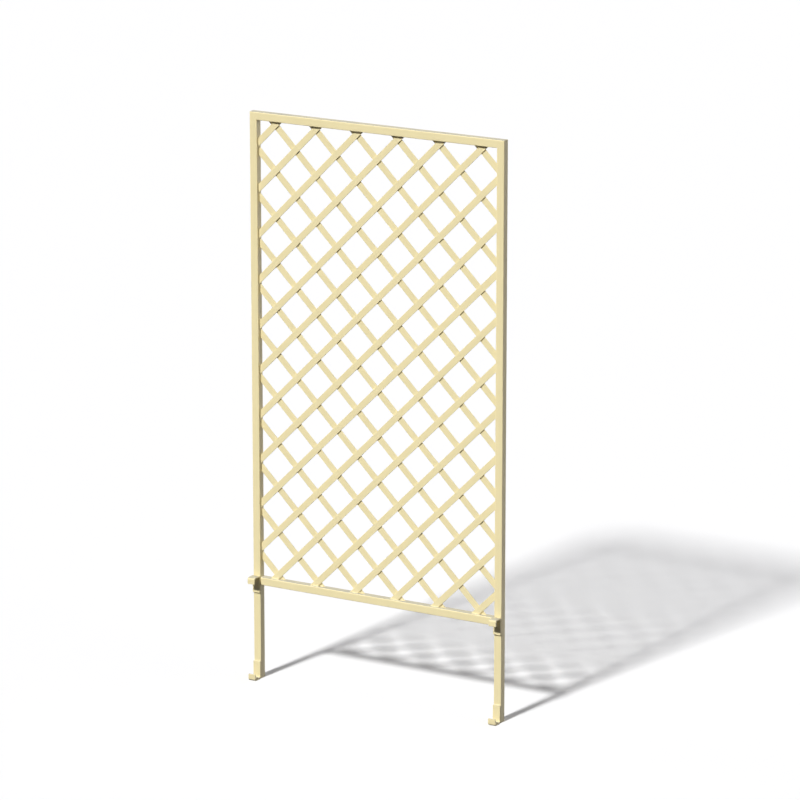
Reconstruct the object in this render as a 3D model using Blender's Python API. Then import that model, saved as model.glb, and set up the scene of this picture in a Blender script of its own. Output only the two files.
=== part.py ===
"""Metal trellis: a welded lattice panel on two legs, with hooks that clip it to a planter's wall.

Metres, +Z up. X runs along the panel, the panel's front faces -Y, and the legs stand on Z = 0.
The frame is square steel tube. Two layers of flat bars cross at 45 degrees inside it, at mid depth.
"""

import math

import bmesh
import bpy

# Square tube of the frame and legs
TUBE = 0.020
TUBE_WALL = 0.0015
TUBE_CORNER = 0.0020
CORNER_STEPS = 4

# Frame and legs
FRAME_WIDTH = 0.705
FRAME_HEIGHT = 1.200
LEG_DROP = 0.245

# Lattice of flat bars: whole diamonds between the uprights' middles, and up to crossings near both rails
DIAMONDS_ACROSS = 6
DIAMONDS_UP = 10
CROSSING_INSET = 0.0092
BAR_WIDTH = 0.016
BAR_THICKNESS = 0.0025
BAR_EDGE = 0.0004

# Bent flat bar that makes a rim hook or, upside down, a foot hook
HOOK_THICKNESS = 0.004
HOOK_PLATE = 0.0445
HOOK_REACH = 0.028
HOOK_LIP = 0.0165
HOOK_BEND = 0.001
HOOK_EDGE = 0.0004
BEND_STEPS = 5

# Space left between pieces that a weld joins
CLEARANCE = 0.0003

# Places worked out from the sizes above
FRAME_FRONT = (HOOK_REACH - TUBE) / 2
FRAME_MIDDLE = FRAME_FRONT + TUBE / 2
FRAME_TOP = LEG_DROP + FRAME_HEIGHT
RAIL_TOP = LEG_DROP + TUBE
HALF_WIDTH = FRAME_WIDTH / 2
TUBE_AXIS = HALF_WIDTH - TUBE / 2
DIAMOND_WIDTH = 2 * TUBE_AXIS / DIAMONDS_ACROSS
DIAMOND_HEIGHT = (FRAME_HEIGHT - 2 * TUBE - 2 * CROSSING_INSET) / DIAMONDS_UP
BAR_LEAN = DIAMOND_WIDTH / DIAMOND_HEIGHT
BARS_IN_LAYER = DIAMONDS_ACROSS + DIAMONDS_UP
OPENING_HALF_WIDTH = HALF_WIDTH - TUBE - CLEARANCE
OPENING_LOW = RAIL_TOP + CLEARANCE
OPENING_HIGH = FRAME_TOP - TUBE - CLEARANCE
LATTICE_CENTRE = (OPENING_LOW + OPENING_HIGH) / 2
HOOK_BACK = FRAME_FRONT - CLEARANCE

CREAM = (0.820, 0.705, 0.415, 1.0)
ROUGHNESS = 0.45


def clear_scene():
    """Remove every object, and every mesh that the objects used."""
    for thing in list(bpy.data.objects):
        bpy.data.objects.remove(thing, do_unlink=True)
    for mesh in list(bpy.data.meshes):
        bpy.data.meshes.remove(mesh)


def paint(name):
    """One painted-metal material for one piece."""
    material = bpy.data.materials.new(name)
    material.use_nodes = True
    shader = material.node_tree.nodes["Principled BSDF"]
    shader.inputs["Base Color"].default_value = CREAM
    shader.inputs["Roughness"].default_value = ROUGHNESS
    shader.inputs["Metallic"].default_value = 0.0
    return material


def add_piece(name, mesh_data):
    """Turn a bmesh into one named object with its own material."""
    bmesh.ops.recalc_face_normals(mesh_data, faces=mesh_data.faces)
    mesh = bpy.data.meshes.new(name)
    mesh_data.to_mesh(mesh)
    mesh_data.free()
    mesh.materials.append(paint(name + "_paint"))
    piece = bpy.data.objects.new(name, mesh)
    bpy.context.scene.collection.objects.link(piece)
    return piece


def shade_round(piece, angle):
    """Smooth shading, except where two faces meet at more than the angle."""
    piece.data.shade_smooth()
    piece.data.set_sharp_from_angle(angle=math.radians(angle))


def rounded_square(side, radius):
    """Outline of a square with round corners, anticlockwise round its own centre."""
    points = []
    for quarter in range(4):
        start = quarter * math.pi / 2
        corner = start + math.pi / 4
        reach = (side / 2 - radius) * math.sqrt(2)
        centre = (reach * math.cos(corner), reach * math.sin(corner))
        for step in range(CORNER_STEPS + 1):
            angle = start + step * math.pi / 2 / CORNER_STEPS
            points.append((centre[0] + radius * math.cos(angle), centre[1] + radius * math.sin(angle)))
    return points


def square_tube(name, place, start, end):
    """A hollow tube: place(u, v, along) gives a point, start(u) and end(u) are its cut faces."""
    mesh_data = bmesh.new()
    outer = rounded_square(TUBE, TUBE_CORNER)
    inner = rounded_square(TUBE - 2 * TUBE_WALL, max(TUBE_CORNER - TUBE_WALL, TUBE_WALL / 4))
    loops = []
    for outline, cut in ((outer, start), (outer, end), (inner, end), (inner, start)):
        loops.append([mesh_data.verts.new(place(u, v, cut(u))) for u, v in outline])
    for here, there in zip(loops, loops[1:] + loops[:1]):
        for index in range(len(here)):
            after = (index + 1) % len(here)
            mesh_data.faces.new((here[index], here[after], there[after], there[index]))
    piece = add_piece(name, mesh_data)
    shade_round(piece, 40)
    return piece


def upright(name, side):
    """One side of the frame with its leg: side is -1 on the left and +1 on the right."""
    mitre_space = CLEARANCE / math.sqrt(2)

    def place(u, v, along):
        return (side * (TUBE_AXIS + u), FRAME_MIDDLE + v, along)

    def floor_cut(u):
        return 0.0

    def mitre(u):
        return FRAME_TOP - (TUBE / 2 - u) - mitre_space

    return square_tube(name, place, floor_cut, mitre)


def top_rail():
    """The top of the frame, mitred at both ends."""
    mitre_space = CLEARANCE / math.sqrt(2)

    def place(u, v, along):
        return (along, FRAME_MIDDLE + v, FRAME_TOP - TUBE / 2 + u)

    def left_mitre(u):
        return -right_mitre(u)

    def right_mitre(u):
        return HALF_WIDTH - (TUBE / 2 - u) - mitre_space

    return square_tube("top_rail", place, left_mitre, right_mitre)


def bottom_rail():
    """The bottom of the frame, butted between the two uprights."""

    def place(u, v, along):
        return (along, FRAME_MIDDLE + v, LEG_DROP + TUBE / 2 + u)

    def left_cut(u):
        return -OPENING_HALF_WIDTH

    def right_cut(u):
        return OPENING_HALF_WIDTH

    return square_tube("bottom_rail", place, left_cut, right_cut)


def clip(outline, axis, limit, keep_below):
    """Cut a flat outline at one coordinate, keeping the part on one side of it."""
    sign = 1 if keep_below else -1
    kept = []
    for here, there in zip(outline, outline[1:] + outline[:1]):
        room_here = sign * (limit - here[axis])
        room_there = sign * (limit - there[axis])
        if room_here >= 0:
            kept.append(here)
        if room_here * room_there < 0:
            share = room_here / (room_here - room_there)
            kept.append(tuple(a + share * (b - a) for a, b in zip(here, there)))
    return kept


def bar_outline(lean, offset):
    """Outline of one lattice bar in X and Z, cut to the frame's opening.

    Its middle line is x = offset + lean * z, with z from the lattice's centre.
    """
    half = BAR_WIDTH / 2 * math.hypot(1, lean)
    low, high = -FRAME_HEIGHT, FRAME_HEIGHT
    outline = [
        (offset + lean * low - half, low),
        (offset + lean * low + half, low),
        (offset + lean * high + half, high),
        (offset + lean * high - half, high),
    ]
    outline = clip(outline, 0, OPENING_HALF_WIDTH, True)
    outline = clip(outline, 0, -OPENING_HALF_WIDTH, False)
    outline = clip(outline, 1, OPENING_HIGH - LATTICE_CENTRE, True)
    return clip(outline, 1, OPENING_LOW - LATTICE_CENTRE, False)


def lattice_bar(name, outline, front):
    """One flat bar from its outline, with its long edges eased."""
    mesh_data = bmesh.new()
    near = [mesh_data.verts.new((x, front, LATTICE_CENTRE + z)) for x, z in outline]
    face = mesh_data.faces.new(near)
    swept = bmesh.ops.extrude_face_region(mesh_data, geom=[face])
    far = [item for item in swept["geom"] if isinstance(item, bmesh.types.BMVert)]
    bmesh.ops.translate(mesh_data, verts=far, vec=(0.0, BAR_THICKNESS, 0.0))
    piece = add_piece(name, mesh_data)
    ease = piece.modifiers.new("eased_edges", "BEVEL")
    ease.width = BAR_EDGE
    ease.segments = 2
    ease.limit_method = "ANGLE"
    ease.angle_limit = math.radians(30)
    return piece


def lattice_layer(prefix, lean, front):
    """One layer of parallel bars, a diamond apart, the first and the last across opposite corners."""
    for number in range(1, BARS_IN_LAYER + 1):
        offset = (number - (BARS_IN_LAYER + 1) / 2) * DIAMOND_WIDTH
        lattice_bar(f"{prefix}_bar_{number:02d}", bar_outline(lean, offset), front)


def hook_profile():
    """Side outline of the bent bar in Y and Z: plate, top and lip, with the top at z = 0.

    It is the band between an outer and an inner path, which share the centres of their bends.
    """
    outer_bend = HOOK_BEND + HOOK_THICKNESS
    lip_front = FRAME_FRONT - HOOK_REACH
    back_centre = HOOK_BACK - outer_bend
    lip_centre = lip_front + outer_bend

    def bends(radius):
        path = []
        for centre, start in ((back_centre, 0.0), (lip_centre, math.pi / 2)):
            for step in range(BEND_STEPS + 1):
                angle = start + step * math.pi / 2 / BEND_STEPS
                path.append((centre + radius * math.cos(angle), -outer_bend + radius * math.sin(angle)))
        return path

    outside = [(HOOK_BACK, -HOOK_PLATE)] + bends(outer_bend) + [(lip_front, -HOOK_LIP)]
    inside = [(HOOK_BACK - HOOK_THICKNESS, -HOOK_PLATE)] + bends(HOOK_BEND)
    inside.append((lip_front + HOOK_THICKNESS, -HOOK_LIP))
    return outside, inside


def hook(name, side, seat, upside_down):
    """A bent flat bar on the front of an upright. seat is the height of its outer flat."""
    turn = -1 if upside_down else 1
    outside, inside = hook_profile()
    edges = (side * HALF_WIDTH, side * (HALF_WIDTH - TUBE))
    mesh_data = bmesh.new()
    rings = []
    for path in (outside, inside):
        for x in edges:
            rings.append([mesh_data.verts.new((x, y, seat + turn * z)) for y, z in path])
    out_a, out_b, in_a, in_b = rings
    count = len(out_a)
    for first, second in ((out_a, out_b), (in_b, in_a), (out_b, in_b), (in_a, out_a)):
        for index in range(count - 1):
            mesh_data.faces.new((first[index], first[index + 1], second[index + 1], second[index]))
    for index in (0, count - 1):
        mesh_data.faces.new((out_a[index], out_b[index], in_b[index], in_a[index]))
    piece = add_piece(name, mesh_data)
    ease = piece.modifiers.new("eased_edges", "BEVEL")
    ease.width = HOOK_EDGE
    ease.segments = 2
    ease.limit_method = "ANGLE"
    ease.angle_limit = math.radians(60)
    shade_round(piece, 40)
    return piece


def build():
    clear_scene()
    upright("left_upright", -1)
    upright("right_upright", 1)
    top_rail()
    bottom_rail()
    lattice_layer("front", BAR_LEAN, FRAME_MIDDLE - CLEARANCE / 2 - BAR_THICKNESS)
    lattice_layer("back", -BAR_LEAN, FRAME_MIDDLE + CLEARANCE / 2)
    for word, side in (("left", -1), ("right", 1)):
        hook(word + "_rim_hook", side, RAIL_TOP + HOOK_THICKNESS, False)
        hook(word + "_foot_hook", side, 0.0, True)


build()
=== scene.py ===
"""Looks of the metal trellis: its coated steel frame, lattice, hooks and welds, in a plain white studio.

Metres, +Z up. X runs along the panel, the panel's front faces -Y, and the legs stand on Z = 0.
Each piece is a closed skin, worked out in place as whole arrays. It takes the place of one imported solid,
except for the weld beads, which have no solid.
"""

import math

import bpy
import numpy as np
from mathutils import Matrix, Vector


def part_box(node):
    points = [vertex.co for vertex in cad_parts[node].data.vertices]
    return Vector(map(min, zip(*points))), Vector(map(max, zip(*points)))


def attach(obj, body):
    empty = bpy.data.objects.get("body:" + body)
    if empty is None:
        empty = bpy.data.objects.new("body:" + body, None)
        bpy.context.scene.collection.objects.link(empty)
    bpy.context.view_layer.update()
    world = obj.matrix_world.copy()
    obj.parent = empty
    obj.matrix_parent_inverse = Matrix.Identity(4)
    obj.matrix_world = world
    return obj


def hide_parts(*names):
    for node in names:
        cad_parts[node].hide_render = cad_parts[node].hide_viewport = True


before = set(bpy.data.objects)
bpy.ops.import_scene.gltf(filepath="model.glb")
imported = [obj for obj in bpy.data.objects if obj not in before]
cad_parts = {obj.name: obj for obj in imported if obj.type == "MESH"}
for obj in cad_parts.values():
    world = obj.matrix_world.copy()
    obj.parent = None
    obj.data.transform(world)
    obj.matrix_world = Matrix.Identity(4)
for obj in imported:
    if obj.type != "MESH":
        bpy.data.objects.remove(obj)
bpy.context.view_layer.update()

# Stock sizes of the steel
TUBE_CORNER = 0.0020
TUBE_WALL = 0.0015
CUT_EASE = 0.0003
BAR_WIDTH = 0.016
BAR_EDGE = 0.0004
HOOK_THICKNESS = 0.004
HOOK_BEND = 0.001
HOOK_LIP = 0.0165
HOOK_EDGE = 0.0006

# Lattice: whole diamonds between the uprights' middles, and up to crossings near both rails
DIAMONDS_ACROSS = 6
DIAMONDS_UP = 10
CROSSING_INSET = 0.0092

# Welds: a piece's bite into its neighbour, and a bead's leg, least length, face, root, ends and ripples
WELD_BITE = 0.0001
WELD_LEG = 0.0014
WELD_SHORTEST = 3 * WELD_LEG
WELD_BULGE = 0.5
WELD_ROOT = 0.12
WELD_TAPER = 0.65
WELD_RIPPLE = 0.10
WELD_RIPPLES = 4

# Beads in the notches beside the uprights' round corners, at the ends of the bottom rail
NOTCH_INSET = 0.0005
NOTCH_DEPTH = 0.0022
NOTCH_FILL = 0.0017
NOTCH_REACH = (0.0012, 0.0020)

# Spot welds: the dip that each leaves, and where the rings of a bar lie round it, as shares of its radius
SPOT_RADIUS = 0.0024
SPOT_DEPTH = 0.00018
SPOT_RINGS = np.array([0.5, 0.9, 1.15, 1.5])

# Fineness of the skins, the flat beside a rounded edge, and the angle in degrees that makes an edge sharp
ARC_STEPS = 6
BEND_STEPS = 12
BEAD_COLUMNS = 4
BEAD_RINGS = 9
FLAT_MARGIN = 0.0002
SHARP_ANGLE = 35.0

# Paint: its colour, broad clouds of tone, paler edges that are a painted highlight, dark specks, roughness
# and index of refraction
CREAM = (0.850, 0.742, 0.430)
CLOUD_SIZE = 0.060
CLOUD_DETAIL = 3.0
CLOUD_RISE = (0.30, 0.70)
CLOUD_TONES = (0.985, 1.012)
EDGE_HIGHLIGHT_TONE = 1.08
SPECKS_PER_METRE = 70.0
SPECK_REACH = (0.012, 0.022)
SPECK_SHARE = 0.5
SPECK_TONE = 0.80
ROUGHNESS = 0.40
CLOUD_ROUGHNESS = 0.05
PEEL_ROUGHNESS = 0.04
EDGE_SMOOTHNESS = 0.02
PAINT_IOR = 1.5

# Relief of the paint: peel's height, grain's size, grain and specks as shares of the peel, noise's detail
PEEL_HEIGHT = 0.00006
GRAIN_SIZE = 0.0004
GRAIN_SHARE = 0.12
SPECK_RELIEF = 0.6
FINE_DETAIL = 1.0

# Dust and painted shade on the faces that look up: its colour, how steeply a face must look up to take it,
# how much it covers and how matt it is
TOP_DUST_AND_SHADE = (0.420, 0.405, 0.335)
TOP_DUST_AND_SHADE_RISE = (0.60, 0.95)
TOP_DUST_AND_SHADE_COVER = 0.67
TOP_DUST_AND_SHADE_CLOUDS = 0.20
TOP_DUST_AND_SHADE_ROUGHNESS = 0.35

# Camera, fitted to the photograph's edges: its angles in degrees, its lens and sensor in millimetres
CAMERA_AZIMUTH = 30.0
CAMERA_ELEVATION = 15.0
CAMERA_TARGET = (0.0696, 0.004, 0.7762)
CAMERA_DISTANCE = 10.888
CAMERA_REACH = 200.0
LENS = 202.48
SENSOR = 36.0

# Sun and fill, fitted to the photograph: the way light travels, its level, spread in degrees and colour
SUN_TRAVEL = (0.136, 1.058, -1.0)
SUN_LEVEL = 1.255
SUN_SPREAD = 6.0
SUN_COLOUR = (1.0, 1.0, 1.0)
FILL_TRAVEL = (-0.96, -0.33, -0.42)
FILL_LEVEL = 0.155
FILL_SPREAD = 60.0
FILL_COLOUR = (1.0, 0.97, 1.16)

# Sky: its level all round and behind, and where the one behind comes in backwards and goes out upwards
SKY_AROUND = 0.05
SKY_BEHIND = 2.80
SKY_BACK = (0.4, 0.9)
SKY_HEIGHT = (0.0, 0.7)

# Floor: its colour, the light it gives back to the trellis, its glow, its drop below the legs and its reach
FLOOR_COLOUR = 0.845
FLOOR_BOUNCE = 0.02
FLOOR_GLOW = 0.096
FLOOR_DROP = 0.0001
FLOOR_REACH = 60.0


def corners(node):
    """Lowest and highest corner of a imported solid, as two arrays."""
    low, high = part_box(node)
    return np.array(low), np.array(high)


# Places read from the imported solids
upright_low, upright_high = corners("right_upright")
rail_low, rail_high = corners("bottom_rail")
front_low, front_high = corners("front_bar_08")
back_low, back_high = corners("back_bar_08")
TUBE = upright_high[1] - upright_low[1]
FRAME_FRONT = upright_low[1]
FRAME_MIDDLE = FRAME_FRONT + TUBE / 2
FRAME_TOP = corners("top_rail")[1][2]
HALF_WIDTH = upright_high[0]
TUBE_AXIS = HALF_WIDTH - TUBE / 2
INNER_HALF = HALF_WIDTH - TUBE
INNER_LOW = rail_high[2]
INNER_HIGH = FRAME_TOP - TUBE
INNER_CENTRE = (INNER_LOW + INNER_HIGH) / 2
INNER_REACH = (INNER_HIGH - INNER_LOW) / 2
DIAMOND_WIDTH = 2 * TUBE_AXIS / DIAMONDS_ACROSS
DIAMOND_HEIGHT = (INNER_HIGH - INNER_LOW - 2 * CROSSING_INSET) / DIAMONDS_UP
BAR_LEAN = DIAMOND_WIDTH / DIAMOND_HEIGHT
BARS_IN_LAYER = DIAMONDS_ACROSS + DIAMONDS_UP
BAR_THICKNESS = front_high[1] - front_low[1]
BAR_OFFSETS = (np.arange(BARS_IN_LAYER) - (BARS_IN_LAYER - 1) / 2) * DIAMOND_WIDTH


class Socket:
    """An output socket in a node tree. Arithmetic on it adds Math nodes."""

    def __init__(self, tree, output=None):
        self.tree = tree
        self.output = output

    def node(self, kind, settings=(), values=(), output=0):
        """Add a node: its settings first, then its inputs' values or links. Gives one of its outputs."""
        made = self.tree.nodes.new(kind)
        for key, value in dict(settings).items():
            setattr(made, key, value)
        for key, value in dict(values).items():
            if isinstance(value, Socket):
                self.tree.links.new(value.output, made.inputs[key])
            else:
                made.inputs[key].default_value = value
        return Socket(self.tree, made.outputs[output] if made.outputs else None)

    def maths(self, operation, *terms):
        return self.node("ShaderNodeMath", {"operation": operation}, enumerate(terms))

    def __add__(self, other):
        return self.maths("ADD", self, other)

    def __sub__(self, other):
        return self.maths("SUBTRACT", self, other)

    def __rsub__(self, other):
        return self.maths("SUBTRACT", other, self)

    def __mul__(self, other):
        return self.maths("MULTIPLY", self, other)

    __radd__ = __add__
    __rmul__ = __mul__


def rise(value, low, high):
    """0 below low, 1 above high and a smooth step between them."""
    return value.node("ShaderNodeMapRange", {"interpolation_type": "SMOOTHSTEP"},
                      {"Value": value, "From Min": low, "From Max": high})


def mix_colour(share, first, second):
    """Blend of two colours, all the second where share is 1."""
    return share.node("ShaderNodeMix", {"data_type": "RGBA"}, {0: share, 6: first, 7: second}, 2)


def grey(level):
    """A grey of a level that a socket gives."""
    return level.node("ShaderNodeCombineColor", values={0: level, 1: level, 2: level})


def shade(colour, level=1.0):
    """The colour with its light scaled by a number."""
    return tuple(channel * level for channel in colour) + (1.0,)


def powder_coat(name, peel_size, edge_highlight_share):
    """Cream powder coat on steel.

    Orange peel of peel_size and a finer grain raise the skin. Broad clouds and rare specks vary its tone. On
    the edges that the edge attribute marks, the film is a little smoother, and paler by its given share: a
    painted highlight. A grey tint on the faces that look up is partly dust and partly painted shade.
    """
    material = bpy.data.materials.new(name)
    material.use_nodes = True
    material.node_tree.nodes.clear()
    start = Socket(material.node_tree)
    place = start.node("ShaderNodeTexCoord", output="Object")
    edge = start.node("ShaderNodeAttribute", {"attribute_name": "edge"}, output="Fac")

    def noise(size, detail):
        values = {"Vector": place, "Scale": 1 / size, "Detail": detail}
        return start.node("ShaderNodeTexNoise", values=values)

    clouds = rise(noise(CLOUD_SIZE, CLOUD_DETAIL), *CLOUD_RISE)
    peel = noise(peel_size, FINE_DETAIL)
    grain = noise(GRAIN_SIZE, FINE_DETAIL)
    cells = start.node("ShaderNodeTexVoronoi", values={"Vector": place, "Scale": SPECKS_PER_METRE})
    speck = (1 - rise(cells, *SPECK_REACH)) * SPECK_SHARE
    tone = mix_colour(clouds, *(shade(CREAM, level) for level in CLOUD_TONES))
    # Painted highlight: the rounded edges are made paler than the flats.
    tone = mix_colour(edge * edge_highlight_share, tone, shade(CREAM, EDGE_HIGHLIGHT_TONE))
    tone = mix_colour(speck, tone, shade(CREAM, SPECK_TONE))
    # Painted shade, partly dust: faces that look up get a greyer, darker tone.
    facing = start.node("ShaderNodeNewGeometry", output="Normal")
    upward = start.node("ShaderNodeSeparateXYZ", values={0: facing}, output=2)
    dust_and_shade = rise(upward, *TOP_DUST_AND_SHADE_RISE) * (TOP_DUST_AND_SHADE_COVER + clouds * TOP_DUST_AND_SHADE_CLOUDS)
    tone = mix_colour(dust_and_shade, tone, shade(TOP_DUST_AND_SHADE))
    roughness = ROUGHNESS + clouds * CLOUD_ROUGHNESS + peel * PEEL_ROUGHNESS
    roughness = roughness - edge * EDGE_SMOOTHNESS + dust_and_shade * TOP_DUST_AND_SHADE_ROUGHNESS
    relief = peel + grain * GRAIN_SHARE + speck * SPECK_RELIEF
    bump = start.node("ShaderNodeBump", values={"Strength": 1.0, "Distance": PEEL_HEIGHT, "Height": relief})
    shader = start.node("ShaderNodeBsdfPrincipled",
                        values={"Base Color": tone, "Roughness": roughness, "Metallic": 0.0,
                                "IOR": PAINT_IOR, "Normal": bump})
    start.node("ShaderNodeOutputMaterial", values={"Surface": shader})
    return material


FRAME_COAT = powder_coat("cream_coat_on_tube", peel_size=0.0021, edge_highlight_share=0.90)
LATTICE_COAT = powder_coat("cream_coat_on_flat_bar", peel_size=0.0017, edge_highlight_share=0.10)
HOOK_COAT = powder_coat("cream_coat_on_bent_bar", peel_size=0.0018, edge_highlight_share=0.50)
WELD_COAT = powder_coat("cream_coat_on_welds", peel_size=0.0012, edge_highlight_share=0.10)


def add_piece(name, points, faces, edges, coat, node=None):
    """Put one closed skin into the scene, turned outwards, smooth but for its sharp edges, and coated.

    edges says for each point whether it lies on an edge, and the coat reads it as the edge attribute.
    """
    first, second, third, fourth = (points[faces[:, side]] for side in range(4))
    halves = np.cross(second, third) + np.cross(third, fourth)
    if np.einsum("ij,ij->", first, halves) < 0:
        faces = faces[:, ::-1]
    mesh = bpy.data.meshes.new(name)
    mesh.from_pydata(points.tolist(), [], faces.tolist())
    marks = mesh.attributes.new("edge", "FLOAT", "POINT")
    marks.data.foreach_set("value", np.asarray(edges, np.float32))
    mesh.shade_smooth()
    mesh.set_sharp_from_angle(angle=math.radians(SHARP_ANGLE))
    mesh.materials.append(coat)
    piece = bpy.data.objects.new(name, mesh)
    bpy.context.scene.collection.objects.link(piece)
    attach(piece, "root")
    if node:
        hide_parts(node)


def ring_faces(rings, columns):
    """Quads between each ring of a grid and the next, on a grid whose columns close on themselves."""
    index = np.arange(rings * columns).reshape(rings, columns)
    here, there = index[:-1], index[1:]
    return np.stack([here, np.roll(here, -1, 1), np.roll(there, -1, 1), there], -1).reshape(-1, 4)


def cap_faces(ring, columns):
    """Quads across a ring whose point i faces point columns - 1 - i."""
    near = ring * columns + np.arange(columns // 2)
    far = ring * columns + columns - 1 - np.arange(columns // 2)
    return np.stack([near[:-1], near[1:], far[1:], far[:-1]], -1)


def capped_faces(rings, columns):
    """Quads of a grid of rings closed at both ends."""
    ends = [cap_faces(0, columns), cap_faces(rings - 1, columns)[:, ::-1]]
    return np.concatenate([ring_faces(rings, columns)[:, ::-1]] + ends)


def rounded_square(side, radius):
    """Round-cornered square about its own centre, and which of its points are on a corner.

    Each corner is a quarter circle, with one point more on the flat at a small margin before and after it.
    """
    turn = np.linspace(0, math.pi / 2, ARC_STEPS + 1)
    arc = radius * np.stack([np.cos(turn), np.sin(turn)], 1)
    corner = np.concatenate([[[radius, -FLAT_MARGIN]], arc, [[-FLAT_MARGIN, radius]]]) + side / 2 - radius
    quarter_turn = np.array([[0, 1], [-1, 0]])
    square = np.concatenate([corner @ np.linalg.matrix_power(quarter_turn, quarter) for quarter in range(4)])
    on_corner = np.tile([0] + [1] * (ARC_STEPS + 1) + [0], 4)
    return square, on_corner


def square_tube(name, node, place, start, end):
    """Hollow square tube with eased cuts.

    Rings of its section run along the outside from cut to cut and back along the inside, and the last joins
    the first. place(u, v, along) gives the points, and start(u) and end(u) say where each cut is at u.
    """
    outer, on_corner = rounded_square(TUBE, TUBE_CORNER)
    eased = rounded_square(TUBE - 2 * CUT_EASE, TUBE_CORNER - CUT_EASE)[0]
    inner = rounded_square(TUBE - 2 * TUBE_WALL, TUBE_CORNER - TUBE_WALL)[0]
    rings = [(eased, start, 0), (outer, start, CUT_EASE), (outer, end, -CUT_EASE), (eased, end, 0),
             (inner, end, 0), (inner, start, 0)]
    points = np.stack([np.stack(place(ring[:, 0], ring[:, 1], cut(ring[:, 0]) + shift), 1)
                       for ring, cut, shift in rings])
    faces = ring_faces(len(rings) + 1, len(outer)) % (len(rings) * len(outer))
    edges = np.tile(on_corner, len(rings))
    add_piece(name, points.reshape(-1, 3), faces, edges, FRAME_COAT, node)


def frame_tubes():
    """Two uprights and a top rail that meet at mitres, and a bottom rail between the uprights."""
    for word, side in (("left", -1), ("right", 1)):
        square_tube(f"{word}_side_tube", f"{word}_upright",
                    lambda u, v, along: (side * (TUBE_AXIS + u), FRAME_MIDDLE + v, along),
                    lambda u: 0 * u,
                    lambda u: FRAME_TOP - TUBE / 2 + u)
    square_tube("top_tube", "top_rail",
                lambda u, v, along: (along, FRAME_MIDDLE + v, FRAME_TOP - TUBE / 2 + u),
                lambda u: -TUBE_AXIS - u,
                lambda u: TUBE_AXIS + u)
    square_tube("bottom_tube", "bottom_rail",
                lambda u, v, along: (along, FRAME_MIDDLE + v, rail_low[2] + TUBE / 2 + u),
                lambda u: 0 * u - INNER_HALF - WELD_BITE,
                lambda u: 0 * u + INNER_HALF + WELD_BITE)


def flat_section(width, thickness, edge, columns):
    """Section of a flat bar: how far across and how far forward its points are, and which are on an edge.

    Its front half runs from one edge to the other over quarter circles and the given columns, and its back
    half returns over the same places across.
    """
    turn = np.linspace(0, math.pi / 2, ARC_STEPS // 2 + 1)
    across = width / 2 - edge + edge * np.sin(turn)
    forward = thickness / 2 - edge + edge * np.cos(turn)
    flat = np.sort(columns)
    front = np.concatenate([-across[::-1], flat, across])
    height = np.concatenate([forward[::-1], np.full(len(flat), thickness / 2), forward])
    on_edge = np.concatenate([np.ones(len(across)), np.zeros(len(flat)), np.ones(len(across))])
    return (np.concatenate([front, front[::-1]]), np.concatenate([height, -height[::-1]]),
            np.concatenate([on_edge, on_edge[::-1]]))


def lattice_bar(name, node, lean, offset, middle, spots):
    """One flat bar of the lattice, along the line x = offset + lean * z from the lattice's centre.

    Every point is at a distance along the line, one across it and one forward of the depth middle. The two
    end rings lie in the walls of the frame's opening, and the rings between them are square to the line.
    Where spots is true, the back face dips under each weld to the other layer: the dip is the spot's depth
    times e to the power of minus the fourth power of the distance from the spot, in radii.
    """
    along_x, along_z = np.array([lean, 1.0]) / math.hypot(lean, 1.0)
    across_x, across_z = along_z, -along_x
    margin = BAR_WIDTH / 2 - BAR_EDGE - FLAT_MARGIN
    opening = np.array([[x, z] for x in (-INNER_HALF, INNER_HALF)
                        for z in (INNER_LOW - INNER_CENTRE, INNER_HIGH - INNER_CENTRE)])
    opening_across = (opening[:, 0] - offset) * across_x + opening[:, 1] * across_z
    ring_steps = SPOT_RADIUS * np.concatenate([-SPOT_RINGS[::-1], [0], SPOT_RINGS])
    columns = np.concatenate([[-margin, margin], ring_steps if spots else [],
                              opening_across[np.abs(opening_across) < margin]])
    across, forward, on_edge = flat_section(BAR_WIDTH, BAR_THICKNESS, BAR_EDGE, columns)
    reach = INNER_REACH + WELD_BITE
    toward = math.copysign(INNER_HALF + WELD_BITE, lean)
    low_cut = np.maximum((-reach - across * across_z) / along_z,
                         (-toward - offset - across * across_x) / along_x)
    high_cut = np.minimum((reach - across * across_z) / along_z,
                          (toward - offset - across * across_x) / along_x)
    crossings = np.sort((BAR_OFFSETS - offset) / (2 * lean)) / along_z
    clear = 2 * SPOT_RADIUS
    inside = (crossings > low_cut.max() + clear) & (crossings < high_cut.min() - clear)
    crossings = crossings[inside] if spots else crossings[:0]
    between = (crossings[:, None] + ring_steps).ravel()
    along = np.concatenate([low_cut[None], np.repeat(between[:, None], len(across), 1), high_cut[None]])
    radii_away = np.hypot(along[..., None] - crossings, across[:, None]) / SPOT_RADIUS
    dip = SPOT_DEPTH * np.exp(-radii_away ** 4).sum(-1) * (forward < 0)
    points = np.stack([offset + along * along_x + across * across_x,
                       middle - forward - dip,
                       INNER_CENTRE + along * along_z + across * across_z], -1)
    edges = np.tile(on_edge, len(along))
    add_piece(name, points.reshape(-1, 3), capped_faces(*along.shape), edges, LATTICE_COAT,
              node)


def lattice():
    """Two layers of parallel bars, one rising to the right and one behind it falling to the right."""
    for number, offset in enumerate(BAR_OFFSETS, 1):
        lattice_bar(f"rising_bar_{number:02d}", f"front_bar_{number:02d}", BAR_LEAN, offset,
                    (front_low[1] + front_high[1]) / 2, spots=False)
        lattice_bar(f"falling_bar_{number:02d}", f"back_bar_{number:02d}", -BAR_LEAN, offset,
                    (back_low[1] + back_high[1]) / 2, spots=True)


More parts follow.
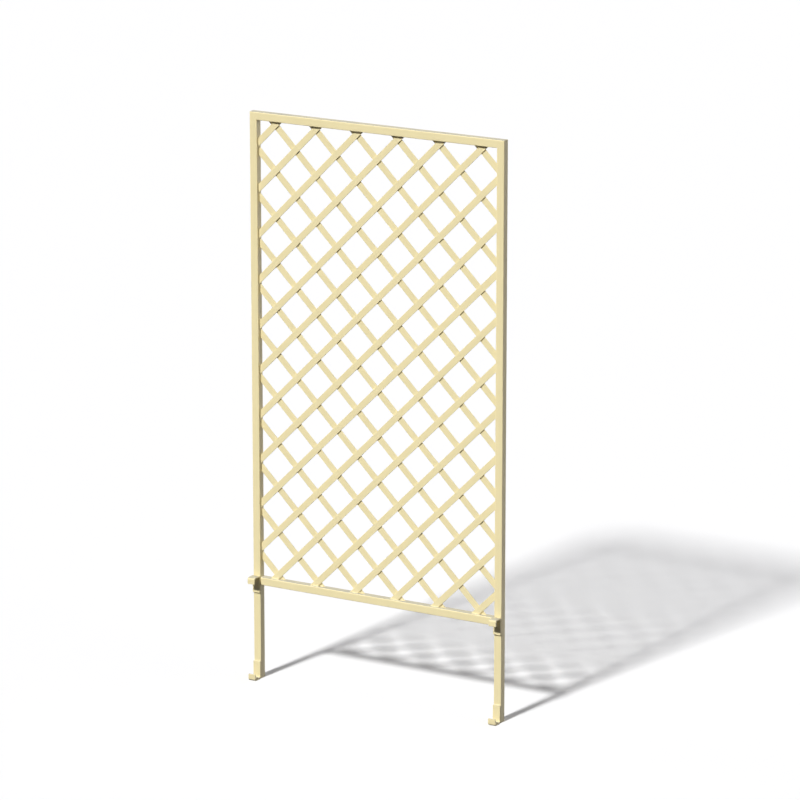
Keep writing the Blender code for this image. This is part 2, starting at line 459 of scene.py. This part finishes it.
def bent_hook(name, node, upside_down):
    """Flat bar bent twice into a hook: a plate up the tube, a top outwards and a lip back down.

    A flat section is carried along a path of three straight runs and two quarter circles, square to it, and
    is drawn in by its own edge at both ends.
    """
    low, high = corners(node)
    radius = HOOK_BEND + HOOK_THICKNESS / 2
    back = FRAME_FRONT - WELD_BITE - HOOK_THICKNESS / 2
    lip = low[1] + HOOK_THICKNESS / 2
    height = high[2] - low[2]
    turn = np.linspace(0, math.pi / 2, BEND_STEPS + 1)
    first = np.stack([back - radius + radius * np.cos(turn), -radius + radius * np.sin(turn)], 1)
    second = np.stack([lip + radius - radius * np.sin(turn), -radius + radius * np.cos(turn)], 1)
    top = -HOOK_THICKNESS / 2
    ends = [height + top, HOOK_LIP + top]
    path = np.concatenate([[[back, -ends[0]], [back, -ends[0] + HOOK_EDGE]], first,
                           second, [[lip, -ends[1] + HOOK_EDGE], [lip, -ends[1]]]])
    outward = np.concatenate([[[1, 0], [1, 0]], np.stack([np.cos(turn), np.sin(turn)], 1),
                              np.stack([-np.sin(turn), np.cos(turn)], 1), [[-1, 0], [-1, 0]]])
    margin = TUBE / 2 - HOOK_EDGE - FLAT_MARGIN
    across, forward, on_edge = flat_section(TUBE, HOOK_THICKNESS, HOOK_EDGE, np.array([-margin, margin]))
    draw = np.ones(len(path))
    draw[[0, -1]] = 1 - HOOK_EDGE / (HOOK_THICKNESS / 2)
    spread = np.ones(len(path))
    spread[[0, -1]] = 1 - HOOK_EDGE / (TUBE / 2)
    centre = (low[0] + high[0]) / 2
    x = centre + across * spread[:, None]
    y = path[:, :1] + outward[:, :1] * forward * draw[:, None]
    z = path[:, 1:] + outward[:, 1:] * forward * draw[:, None] + top
    z = low[2] - z if upside_down else high[2] + z
    edges = np.tile(on_edge, len(path))
    edges[:len(across)] = edges[-len(across):] = 1
    add_piece(name, np.stack([x, y, z], -1).reshape(-1, 3), capped_faces(*x.shape), edges, HOOK_COAT,
              node)


def hooks():
    """A hook level with the bottom rail and one at the foot, on each upright."""
    for side in ("left", "right"):
        bent_hook(f"{side}_upper_clip", f"{side}_rim_hook", upside_down=False)
        bent_hook(f"{side}_lower_clip", f"{side}_foot_hook", upside_down=True)


def weld_beads(name, starts, ends, first_reach, second_reach):
    """Fillet welds, each along a line from its start to its end.

    A section fills the corner between two walls: it bulges from the first reach to the second, and its root
    runs back just inside both walls. Sections follow the line. Their size swells in ripples, as a cosine,
    and shrinks towards both ends with the fifth power of the distance from the bead's middle.
    """
    run = ends - starts
    turned = np.einsum("ij,ij->i", run, np.cross(first_reach, second_reach))[:, None] < 0
    first_reach, second_reach = (np.where(turned, second_reach, first_reach),
                                 np.where(turned, first_reach, second_reach))
    share = np.linspace(0, 1, BEAD_COLUMNS)[:, None, None]
    face = (1 - share) * first_reach + share * second_reach
    face = face * (1 + WELD_BULGE * share * (1 - share))
    root = np.maximum(1 - 2 * share, 0) * first_reach + np.maximum(2 * share - 1, 0) * second_reach
    root = root - WELD_ROOT * (first_reach + second_reach)
    section = np.concatenate([face, root[::-1]])
    step = np.linspace(0, 1, BEAD_RINGS)[:, None, None, None]
    taper = 1 - WELD_TAPER * np.abs(2 * step - 1) ** 5
    swell = taper * (1 + WELD_RIPPLE * np.cos(2 * math.pi * WELD_RIPPLES * step))
    points = np.transpose(starts + step * run + swell * section, (2, 0, 1, 3))
    beads, rings, columns = points.shape[:3]
    one_bead = capped_faces(rings, columns)
    faces = (one_bead + np.arange(beads)[:, None, None] * rings * columns).reshape(-1, 4)
    points = points.reshape(-1, 3)
    add_piece(name, points, faces, np.zeros(len(points)), WELD_COAT)


def bar_end_welds(name, lean, face, forward):
    """Beads where one face of a layer's bars meets the four walls of the frame's opening.

    Heights are counted from the lattice's centre.
    """
    half = BAR_WIDTH / 2 * math.hypot(1.0, lean)
    starts, ends, inwards = [], [], []
    for wall in (-1, 1):
        middle = (wall * INNER_HALF - BAR_OFFSETS) / lean
        low = np.maximum(middle - half / abs(lean), -INNER_REACH)
        high = np.minimum(middle + half / abs(lean), INNER_REACH)
        kept = high - low > WELD_SHORTEST
        for heights, heap in ((low, starts), (high, ends)):
            heap.append(np.stack([0 * heights + wall * INNER_HALF, 0 * heights + face, heights], 1)[kept])
        inwards.append(np.tile([-wall, 0.0, 0.0], (kept.sum(), 1)))
        middle = BAR_OFFSETS + lean * wall * INNER_REACH
        low = np.maximum(middle - half, -INNER_HALF)
        high = np.minimum(middle + half, INNER_HALF)
        kept = high - low > WELD_SHORTEST
        for places, heap in ((low, starts), (high, ends)):
            heap.append(np.stack([places, 0 * places + face, 0 * places + wall * INNER_REACH], 1)[kept])
        inwards.append(np.tile([0.0, 0.0, -wall], (kept.sum(), 1)))
    lift = np.array([0.0, 0.0, INNER_CENTRE])
    inwards = np.concatenate(inwards)
    outwards = np.tile([0.0, forward, 0.0], (len(inwards), 1))
    weld_beads(name, np.concatenate(starts) + lift, np.concatenate(ends) + lift,
               WELD_LEG * inwards, WELD_LEG * outwards)


def rail_end_welds():
    """Beads in the notch beside each upright's round corner, front and back, and one under each rail end."""
    starts, ends, first_reaches, second_reaches = [], [], [], []
    for side in (-1, 1):
        for face in (-1, 1):
            notch = np.array([side * (INNER_HALF + NOTCH_INSET),
                              FRAME_MIDDLE + face * (TUBE / 2 - NOTCH_DEPTH), 0.0])
            starts.append(notch + [0, 0, rail_low[2] + TUBE_CORNER])
            ends.append(notch + [0, 0, rail_high[2] - TUBE_CORNER])
            first_reaches.append([-side * NOTCH_REACH[0], face * NOTCH_FILL, 0])
            second_reaches.append([side * NOTCH_REACH[1], face * NOTCH_FILL, 0])
        below = np.array([side * INNER_HALF, FRAME_MIDDLE, rail_low[2]])
        starts.append(below - [0, TUBE / 2 - TUBE_CORNER, 0])
        ends.append(below + [0, TUBE / 2 - TUBE_CORNER, 0])
        first_reaches.append([-side * WELD_LEG, 0, 0])
        second_reaches.append([0, 0, -WELD_LEG])
    weld_beads("rail_end_welds",
               *(np.array(rows, float) for rows in (starts, ends, first_reaches, second_reaches)))


def hook_welds():
    """A bead across each upright at the free end of a hook's plate: below a rim hook, above a foot hook."""
    starts, ends, first_reaches, second_reaches = [], [], [], []
    for side in ("left", "right"):
        for kind, outward in (("rim", -1), ("foot", 1)):
            low, high = corners(f"{side}_{kind}_hook")
            plate_end = high[2] if outward > 0 else low[2]
            starts.append([low[0] + TUBE_CORNER, FRAME_FRONT, plate_end])
            ends.append([high[0] - TUBE_CORNER, FRAME_FRONT, plate_end])
            first_reaches.append([0, 0, outward * WELD_LEG])
            second_reaches.append([0, -WELD_LEG, 0])
    weld_beads("hook_welds",
               *(np.array(rows, float) for rows in (starts, ends, first_reaches, second_reaches)))


def welds():
    """Beads at the bars' ends, at the ends of the bottom rail, and at the end of each hook's plate."""
    bar_end_welds("front_bar_end_welds", BAR_LEAN, front_low[1], -1.0)
    bar_end_welds("back_bar_end_welds", -BAR_LEAN, back_high[1], 1.0)
    rail_end_welds()
    hook_welds()


def seen_directly(start):
    """1 for rays from the camera, in gloss or through glass, and 0 for the rest."""
    camera, gloss, glass = (start.node("ShaderNodeLightPath", output=ray)
                            for ray in ("Is Camera Ray", "Is Glossy Ray", "Is Transmission Ray"))
    return camera.maths("MAXIMUM", camera.maths("MAXIMUM", camera, gloss), glass)


def make_floor():
    """White floor that keeps the shadow, with a glow where it is seen. It gives the trellis little light."""
    mesh = bpy.data.meshes.new("floor")
    square = np.array([[-1, -1, 0], [1, -1, 0], [1, 1, 0], [-1, 1, 0]]) * FLOOR_REACH
    mesh.from_pydata((square - [0, 0, FLOOR_DROP]).tolist(), [], [[0, 1, 2, 3]])
    material = bpy.data.materials.new("pale_floor")
    material.use_nodes = True
    material.node_tree.nodes.clear()
    start = Socket(material.node_tree)
    seen = seen_directly(start)
    level = FLOOR_BOUNCE + seen * (FLOOR_COLOUR - FLOOR_BOUNCE)
    matt = start.node("ShaderNodeBsdfDiffuse", values={"Color": grey(level)})
    glow = start.node("ShaderNodeEmission", values={"Color": grey(seen * FLOOR_GLOW)})
    both = start.node("ShaderNodeAddShader", values={0: matt, 1: glow})
    start.node("ShaderNodeOutputMaterial", values={"Surface": both})
    mesh.materials.append(material)
    floor = bpy.data.objects.new("floor", mesh)
    bpy.context.scene.collection.objects.link(floor)


def make_sky():
    """White where it is seen. Its light on the trellis is weak all round and stronger low down behind."""
    world = bpy.data.worlds.new("studio")
    world.use_nodes = True
    world.node_tree.nodes.clear()
    start = Socket(world.node_tree)
    seen = seen_directly(start)
    way = start.node("ShaderNodeTexCoord", output="Generated")
    back, up = (start.node("ShaderNodeSeparateXYZ", values={0: way}, output=axis) for axis in (1, 2))
    light = SKY_AROUND + rise(back, *SKY_BACK) * (1 - rise(up, *SKY_HEIGHT)) * SKY_BEHIND
    sky = start.node("ShaderNodeBackground", values={"Color": grey(seen + (1 - seen) * light)})
    start.node("ShaderNodeOutputWorld", values={"Surface": sky})
    bpy.context.scene.world = world


def make_lamp(name, travel, level, spread, colour):
    """A far lamp. Its shadows have an edge as soft as its spread."""
    lamp = bpy.data.lights.new(name, "SUN")
    lamp.energy = math.pi * level
    lamp.angle = math.radians(spread)
    lamp.color = colour
    holder = bpy.data.objects.new(name, lamp)
    holder.rotation_mode = "QUATERNION"
    holder.rotation_quaternion = Vector(travel).to_track_quat("-Z", "Y")
    bpy.context.scene.collection.objects.link(holder)


def make_camera():
    """The camera on a line from its target at the photograph's azimuth and elevation."""
    azimuth, elevation = math.radians(CAMERA_AZIMUTH), math.radians(CAMERA_ELEVATION)
    back = Vector((math.sin(azimuth) * math.cos(elevation), -math.cos(azimuth) * math.cos(elevation),
                   math.sin(elevation)))
    lens = bpy.data.cameras.new("camera")
    lens.lens = LENS
    lens.sensor_width = SENSOR
    lens.clip_end = CAMERA_REACH
    camera = bpy.data.objects.new("camera", lens)
    camera.location = Vector(CAMERA_TARGET) + back * CAMERA_DISTANCE
    camera.rotation_mode = "QUATERNION"
    camera.rotation_quaternion = (-back).to_track_quat("-Z", "Y")
    bpy.context.scene.collection.objects.link(camera)
    bpy.context.scene.camera = camera


frame_tubes()
lattice()
hooks()
welds()
make_floor()
make_sky()
make_lamp("sun", SUN_TRAVEL, SUN_LEVEL, SUN_SPREAD, SUN_COLOUR)
make_lamp("fill", FILL_TRAVEL, FILL_LEVEL, FILL_SPREAD, FILL_COLOUR)
make_camera()
bpy.context.scene.view_settings.view_transform = "Standard"
